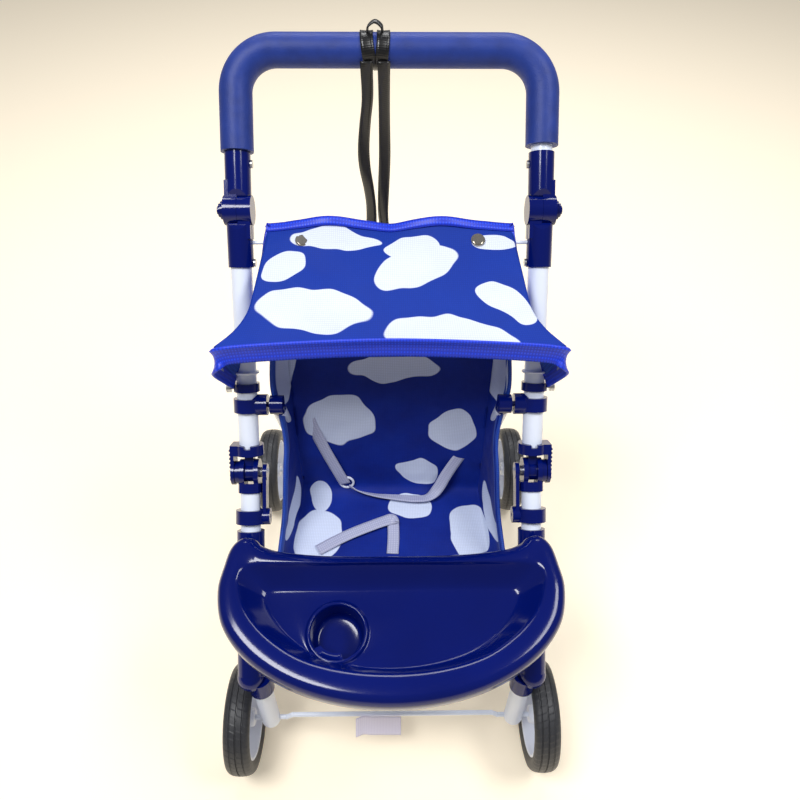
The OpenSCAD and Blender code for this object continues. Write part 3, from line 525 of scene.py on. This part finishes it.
for end in ("front", "rear"):
    for side, sign in (("left", -1), ("right", 1)):
        low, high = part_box(f"tyre_{end}_{side}")
        place = Matrix.Translation((low + high) / 2) @ Matrix.Diagonal((sign, 1, 1, 1))
        bm = spun(tread + [tread[0]])
        bm.transform(place)
        piece(f"eva_tyre_{end}_{side}", bm, f"wheel_{end}_{side}", [tyre_eva],
              [f"tyre_{end}_{side}"])
        bm = spun(barrel + barrel_out)
        for k in range(SPOKES):
            made = bmesh.ops.create_cube(bm, size=1)["verts"]
            bmesh.ops.transform(bm, verts=made, matrix=Matrix.Rotation(math.radians(360 / SPOKES * k), 4,
                "X") @ Matrix.Translation((0.0055, 0, 0.0225)) @ Matrix.Diagonal((0.0078, 0.0036, 0.027,
                1)))
            bmesh.ops.bevel(bm, geom=list({e for v in made for e in v.link_edges}), affect="EDGES",
                            offset=0.0008, segments=2, profile=0.5, material=-1)
        bm.transform(place)
        piece(f"dished_rim_{end}_{side}", bm, f"wheel_{end}_{side}", [white_pp],
              [f"rim_{end}_{side}"], crease=35)


# ---- Cloth
# Printed woven polyester: a deep blue ground with irregular white patches, over a plain azure
# lining, sewn with a bright woven binding along its edges.
def spots(tree, patches, where):
    """How far into the nearest patch a point is: below one is white. A patch is its middle, radii and
    turn, in millimetres and degrees."""
    wobble = add(tree, "ShaderNodeTexNoise", {"Vector": where, "Scale": 26, "Detail": 1}).outputs["Color"]
    push = add(tree, "ShaderNodeVectorMath", {0: wobble, 1: (-0.5, -0.5, -0.5)}, operation="ADD").outputs[0]
    push = add(tree, "ShaderNodeVectorMath", {0: push, 3: 0.022}, operation="SCALE").outputs[0]
    shifted = add(tree, "ShaderNodeVectorMath", {0: where, 1: push}, operation="ADD").outputs[0]
    nearest = None
    for x, y, rx, ry, degrees in patches:
        local = add(tree, "ShaderNodeMapping",
                    {"Vector": shifted, "Location": (x / 1000, y / 1000, 0),
                     "Rotation": (0, 0, math.radians(degrees)), "Scale": (rx / 1000, ry / 1000, 1)},
                    vector_type="TEXTURE")
        far = add(tree, "ShaderNodeVectorMath", {0: local.outputs[0]}, operation="LENGTH").outputs["Value"]
        nearest = far if nearest is None else add(
            tree, "ShaderNodeMath", {0: nearest, 1: far}, operation="MINIMUM").outputs[0]
    return nearest


def spotted_shader(patches, ground, white):
    def shader(tree):
        where = add(tree, "ShaderNodeUVMap").outputs[0]
        inside = add(tree, "ShaderNodeMapRange",
                     {"Value": spots(tree, patches, where), "From Min": 0.985, "From Max": 1.015,
                      "To Min": 1.0, "To Max": 0.0}).outputs[0]
        # Threads 0.9 mm apart, drawn twice as coarse as the real ones so that they show
        warp = add(tree, "ShaderNodeTexWave", {"Vector": where, "Scale": 175, "Distortion": 0.5},
                   bands_direction="X").outputs["Fac"]
        weft = add(tree, "ShaderNodeTexWave", {"Vector": where, "Scale": 175, "Distortion": 0.5},
                   bands_direction="Y").outputs["Fac"]
        weave = add(tree, "ShaderNodeMath", {0: warp, 1: weft}, operation="MULTIPLY").outputs[0]
        # Cloudy mottling of the ground; on the seat its darker end is painted shade
        cloud = add(tree, "ShaderNodeTexNoise", {"Vector": where, "Scale": 18, "Detail": 4}).outputs["Fac"]
        tone = add(tree, "ShaderNodeMix", {"Factor": cloud, 6: linear(ground[0]), 7: linear(ground[1])},
                   data_type="RGBA").outputs[2]
        tone = add(tree, "ShaderNodeMix", {"Factor": inside, 6: tone, 7: linear(white)},
                   data_type="RGBA").outputs[2]
        dark = add(tree, "ShaderNodeMix", {"Factor": weave, 6: linear("#e8e8e8"), 7: linear("#ffffff")},
                   data_type="RGBA").outputs[2]
        tone = add(tree, "ShaderNodeMix", {"Factor": 1.0, 6: tone, 7: dark}, data_type="RGBA",
                   blend_type="MULTIPLY").outputs[2]
        crush = add(tree, "ShaderNodeTexNoise",
                    {"Vector": where, "Scale": 55, "Detail": 5, "Distortion": 0.6}).outputs["Fac"]
        bump = add(tree, "ShaderNodeBump", {"Height": weave, "Strength": 0.25, "Distance": 0.0004})
        crushed = add(tree, "ShaderNodeBump",
                      {"Height": crush, "Strength": 0.35, "Distance": 0.002, "Normal": bump.outputs[0]})
        return {"Base Color": tone, "Roughness": 0.62, "Normal": crushed.outputs[0],
                "Specular IOR Level": 0.2, "Sheen Weight": 0.04, "Sheen Roughness": 0.4}
    return shader


def plain_cloth_shader(light, dark, rough, rib, sheen):
    def shader(tree):
        where = add(tree, "ShaderNodeUVMap").outputs[0]
        ribs = add(tree, "ShaderNodeTexWave", {"Vector": where, "Scale": rib, "Distortion": 0.6},
                   bands_direction="Y").outputs["Fac"]
        cross = add(tree, "ShaderNodeTexWave", {"Vector": where, "Scale": rib * 0.8, "Distortion": 0.6},
                    bands_direction="X").outputs["Fac"]
        grid = add(tree, "ShaderNodeMath", {0: ribs, 1: cross}, operation="MULTIPLY").outputs[0]
        tone = add(tree, "ShaderNodeMix", {"Factor": grid, 6: linear(dark), 7: linear(light)},
                   data_type="RGBA")
        bump = add(tree, "ShaderNodeBump", {"Height": grid, "Strength": 0.35, "Distance": 0.0004})
        return {"Base Color": tone.outputs[2], "Roughness": rough, "Normal": bump.outputs[0],
                "Sheen Weight": sheen}
    return shader


azure_lining = finish("azure_polyester_lining", plain_cloth_shader("#1450c8", "#0c3a9c", 0.6, 170, 0.04))
bright_binding = finish("royal_blue_woven_binding",
                        plain_cloth_shader("#1648f0", "#0a2cc0", 0.45, 120, 0.04))


# ---- Canopy
# A sheet of the spotted cloth over a sprung wire hoop. Its front hem hangs over the hoop, its
# sides run down the hoop's legs to the clips, and its rear edge is held up by the cross rod.
HOOP_LINE, ROD_LINE = (197, 390), (299.93, 432.8)
CANOPY_RUN = math.hypot(ROD_LINE[0] - HOOP_LINE[0], ROD_LINE[1] - HOOP_LINE[1])
CANOPY_TILT = math.atan2(ROD_LINE[1] - HOOP_LINE[1], ROD_LINE[0] - HOOP_LINE[0])
# The shares of the cut that are side flap and front hem
FLAP, HEM = 0.14, 0.1


def canopy_half(v):
    return 108 + 20 * (1 - v) + 22 * max(0, 1 - v / 0.35) ** 2


def canopy_top(u, v):
    lift = 7.4 - 4.5 * max(0, abs(u) - 0.75) / 0.25 * (1 - v)
    rear = max(0, (v - 0.55) / 0.45) ** 2
    lift += rear * (9 * math.exp(-((u + 0.5) / 0.24) ** 2) + 8.5 * math.exp(-((u - 0.42) / 0.24) ** 2)
                    - 3.5 * math.exp(-(u / 0.12) ** 2) - 2.5 * max(0, abs(u) - 0.8) / 0.2)
    lift += 2.2 * math.sin(math.pi * min(1, v * 1.2)) * (1 - u * u) * (v < 0.8333)
    x, d = u * canopy_half(v), v * (CANOPY_RUN + 3)
    lift += 1.3 * (noise.noise(Vector((x / 34, d / 30, 3))) + 0.5 * noise.noise(Vector((x / 15, d / 19,
        8)))) * (0.25 + 0.75 * (1 - rear))
    y = HOOP_LINE[0] + d * math.cos(CANOPY_TILT) - lift * math.sin(CANOPY_TILT)
    z = HOOP_LINE[1] + d * math.sin(CANOPY_TILT) + lift * math.cos(CANOPY_TILT)
    return Vector((x, y, z))


def canopy_place(s, t):
    # A short hem hangs in front of the hoop, and the flaps at both sides go down to the clips
    v = max(0.0, (t - HEM) / (1 - HEM))
    drop_front = max(0.0, 1 - t / HEM)
    side = -1 if s < 0.5 else 1
    inner = min(1.0, (0.5 - abs(s - 0.5)) / FLAP)
    u = side if inner < 1 else (s - 0.5) / (0.5 - FLAP)
    p = canopy_top(u, v)
    if inner < 1:
        w = 1 - inner
        low = Vector((side * 146, 213, 334)).lerp(canopy_top(side, 1), v ** 0.9)
        low.x = side * (146 - 38 * v ** 0.6)
        p = p.lerp(low, w)
        p.x += side * 2.2 * math.sin(math.pi * w)
    if drop_front:
        p += Vector((0, -4.5 * math.sin(drop_front * math.pi / 2), -11 * drop_front ** 1.3)) * min(1,
            inner + 0.1)
        p.y -= 3 * (1 - inner) * drop_front
    return at(*p)


def canopy_chart(s, t):
    u = (s - 0.5) / (0.5 - FLAP)
    return (u * canopy_half(t) / 1000, t * 0.124)


canopy_patches = [(-50, 112, 41, 11, -4), (-94, 86, 19, 15, 30), (-65, 42, 49, 18, -6),
                  (23, 84, 40, 16, 24), (19, 102, 26, 14, 10), (46, 19, 54, 16, -4),
                  (100, 50, 28, 12, -34), (93, 107, 19, 8, 0),]
canopy_print = finish("spotted_polyester_canopy",
                      spotted_shader(canopy_patches, ("#07309a", "#0a38a6"), "#e2eaff"))
canopy = piece("canopy_sheet", surface(150, 80, canopy_place, canopy_chart), "canopy",
               [canopy_print, azure_lining], ["canopy_cover"], 0.001, crease=80)

hem_path = [(-146, 213, 334), (-150, 205, 350), (-152.5, 195, 368), (-151, 188.5, 381),
            (-143, 186.5, 389.5), (-120, 188, 392), (-60, 189.5, 395), (0, 190, 396.5)]
hem_path = hem_path + [(-x, y, z) for x, y, z in hem_path[-2::-1]]
hem_across = [(0.1, 1, 0.35), (0.1, 1, 0.4), (0.1, 0.9, 0.6), (0.1, 0.5, 0.9), (0.05, 0.2, 1),
              (0, 0.12, 1), (0, 0.1, 1), (0, 0.1, 1)]
hem_across = hem_across + [(-x, y, z) for x, y, z in hem_across[-2::-1]]
piece("canopy_front_binding", ribbon(smooth_path([at(*p) for p in hem_path], 10),
                                     smooth_path([Vector(p) for p in hem_across], 10), 0.018, columns=6,
                                     crown=-0.0018), "canopy", [bright_binding], (),
      -0.0022)

EDGE_STEPS = 60
rear_edge = [canopy_place(i / EDGE_STEPS, 1) for i in range(EDGE_STEPS + 1)]
rear_inside = [canopy_place(i / EDGE_STEPS, 0.95) for i in range(EDGE_STEPS + 1)]
piece("canopy_rear_binding", ribbon(rear_edge, [a - b for a, b in zip(rear_edge, rear_inside)], 0.008,
                                    crown=0.0005), "canopy", [bright_binding], (),
      -0.0026)
for side, s in (("left", 0), ("right", 1)):
    edge = [canopy_place(s, HEM + (1 - HEM) * i / EDGE_STEPS) for i in range(EDGE_STEPS + 1)]
    inside = [canopy_place(abs(s - 0.02), HEM + (1 - HEM) * i / EDGE_STEPS) for i in range(EDGE_STEPS + 1)]
    piece(f"canopy_side_binding_{side}", ribbon(
        edge, [a - b for a, b in zip(edge, inside)], 0.007, crown=0.0005), "canopy", [bright_binding],
          (), -0.0026)


# ---- Seat
# A bucket sewn from the spotted cloth: a flat base over a board, a back that hangs from the
# tubes and two side walls whose free edge is bound. The elastic loops tie its top corners.
SEAT_LINE = [(52, 168), (90, 168), (130, 168), (170, 168), (192, 168.6), (203, 174), (208, 190),
             (214, 215), (222, 245), (233, 285), (246, 330), (259, 380)]
EDGE_LINE = [(52, 186), (90, 188), (118, 196), (140, 207), (152, 218), (162, 232), (174, 248), (188, 262),
             (198, 278), (206, 300), (214, 326), (236, 372)]
HALF_LINE = [103, 101, 99, 97, 96, 95.5, 95.5, 96, 96.5, 97, 98, 96]
TOP_LINE = [112, 110, 108, 106, 105, 104, 103, 102, 103, 106, 110, 106]
seat_line = smooth_path([Vector((h, y, z)) for h, (y, z) in zip(HALF_LINE, SEAT_LINE)], 8)
edge_line = smooth_path([Vector((h, y, z)) for h, (y, z) in zip(TOP_LINE, EDGE_LINE)], 8)
seat_run = [0.0]
for a, b in zip(seat_line, seat_line[1:]):
    seat_run.append(seat_run[-1] + (b - a).length)
WALL = 0.24


def seat_place(s, t):
    i = round(t * (len(seat_line) - 1))
    base, edge = seat_line[i], edge_line[i]
    side = -1 if s < 0.5 else 1
    inner = (0.5 - abs(s - 0.5)) / WALL
    if inner < 1:
        p = edge.lerp(base, inner)
        p.x = side * (p.x + 2.0 * math.sin(math.pi * inner))
    else:
        u = (s - 0.5) / (0.5 - WALL)
        p = Vector((u * base.x, base.y, base.z))
        back = max(0.0, min(1.0, (i - 36) / 24))
        p.y += back * (5 * (1 - u * u) - 3)
    soft = noise.noise(Vector((p.x / 30, p.y / 30, p.z / 26))) + 0.5 * noise.noise(Vector((p.x / 13,
        p.y / 15, p.z / 17)))
    back = max(0.0, min(1.0, (i - 38) / 12))
    p.y += 1.8 * soft * back
    p.z += 0.5 * (soft + 0.5) * (1 - back)
    if inner < 1:
        p.x += side * 1.6 * soft * (1 - abs(inner - 0.5))
    return at(*p)


def seat_chart(s, t):
    i = round(t * (len(seat_line) - 1))
    u = (s - 0.5) / (0.5 - WALL)
    inner = (0.5 - abs(s - 0.5)) / WALL
    up_wall = (1 - inner) * (edge_line[i] - seat_line[i]).length
    x = u * 100 if inner >= 1 else (1 if s > 0.5 else -1) * (100 + up_wall)
    return (x / 1000, seat_run[i] / 1000)


seat_patches = [
    # the base
    (-77, 96, 27, 32, 0), (22, 128, 26, 12, 0), (85, 98, 22, 32, 0),
    # the back
    (-54, 240, 37, 29, 10), (66, 229, 26, 26, -10), (30, 172, 24, 18, -15), (2, 302, 44, 16, 0),
    (-78, 143, 14, 17, 20),
    # the side walls
    (-122, 312, 24, 46, 6), (120, 312, 20, 38, -6), (122, 118, 17, 40, 0), (-122, 128, 14, 38, 0),
]
# The ground runs from a dark blue, the seat back's tone in shade, to the lit blue of the base, mixed at
# random: painted shade over the cloth's own mottling
seat_print = finish("spotted_polyester_seat",
                    spotted_shader(seat_patches, ("#02126c", "#0532a8"), "#dbe6ff"))
seat = piece("sewn_seat", surface(150, len(seat_line) - 1, seat_place, seat_chart), None,
             [seat_print], ["seat_cover"], -0.0012, crease=80)
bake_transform(seat)

for side in (-1, 1):
    points = [at(side * (p.x + 0.6), p.y, p.z + 0.4) for p in edge_line]
    across = [Vector((0, -(b - a).z, (b - a).y)).normalized() + Vector((0.3 * side, 0, 0))
              for a, b in zip(edge_line, edge_line[1:] + [edge_line[-1] * 2 - edge_line[-2]])]
    band = piece(f"seat_binding_{'left' if side < 0 else 'right'}",
                 ribbon(points, across, 0.008, crown=0.0006), None, [azure_lining], (),
                 -0.0024)
    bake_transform(band)


# ---- Harness
# Ribbed polyester webbing: one strap from a slit at the left of the back, gathered by a white
# ring and led on to a slit at the right, and a short crotch strap folded over on the base.
lilac_webbing = finish("pale_ribbed_webbing", plain_cloth_shader("#c3c6dc", "#a2a6c4", 0.5, 150, 0.2))


def strap(name, path, across, width, stands_for):
    made = piece(name, ribbon(smooth_path([at(*p) for p in path], 8),
                              smooth_path([Vector(a) for a in across], 8), width, columns=4,
                              crown=0.0003), None, [lilac_webbing], stands_for, -0.0011)
    return made


shoulder = strap("shoulder_strap_short",
                 [(-83, 226, 261), (-78, 221, 246), (-68, 213, 222), (-57, 206, 196), (-50, 202, 179)],
                 [(1, 0, 0.3)] * 5, 0.012, ["shoulder_harness"])
long_strap = strap("shoulder_strap_long",
                   [(-46, 201, 176), (-36, 197, 173), (-18, 193, 171.5), (4, 190, 171.2),
                    (26, 187, 171.5), (40, 188, 173), (50, 194, 180), (60, 203, 196), (72, 212, 213),
                    (83, 219, 228)],
                   [(0.2, -0.4, 1), (0.1, -0.6, 0.8), (0, -0.8, 0.6), (0, -0.9, 0.4), (0.1, -0.9, 0.4),
                    (0.5, -0.7, 0.4), (0.9, -0.4, 0.1), (1, -0.2, -0.2), (1, -0.1, -0.3), (1, 0, -0.4)],
                   0.012, [])
crotch = strap("crotch_strap_web", [(1, 122, 169.8), (2, 138, 170.2), (2, 154, 171.2), (1, 160, 173),
                                    (-8, 158, 173.6), (-38, 146, 172.4), (-58, 136, 171.6),
                                    (-75, 126, 171)],
               [(1, 0, 0), (1, 0, 0), (1, 0.1, 0), (0.8, 0.8, 0.1), (0.4, 1, 0), (0.3, 1, 0), (0.3, 1, 0),
                (0.3, 1, 0)], 0.012, ["crotch_strap"])
for web in (shoulder, long_strap):
    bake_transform(web)
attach(crotch, "front_frame")

# ---- Label and elastic
# A blank paper-like tag sewn round the front axle rod, and white elastic loops round the tubes.
tag_paper = finish("blank_woven_label", plain_cloth_shader("#f6f2ff", "#e6e0f4", 0.75, 260, 0.1))


def tag_place(s, t):
    fold = math.exp(-s * 9)
    ripple = -2.4 * fold * math.cos(s * 18) + 1.2 * math.sin(t * 3)
    return at(-33 + 42 * s - 4 * fold, -4.2 + ripple - 13 * t, 66 - 17 * t - 2 * s)


bm = surface(24, 10, tag_place, lambda s, t: (s * 0.042, t * 0.022))
piece("blank_tag", bm, "front_frame", [tag_paper], ["label_tag"], -0.0006)
dress(finish("white_braided_elastic", white_moulding_shader), "elastic_loops")
dress(finish("grey_board", white_moulding_shader), "seat_board")
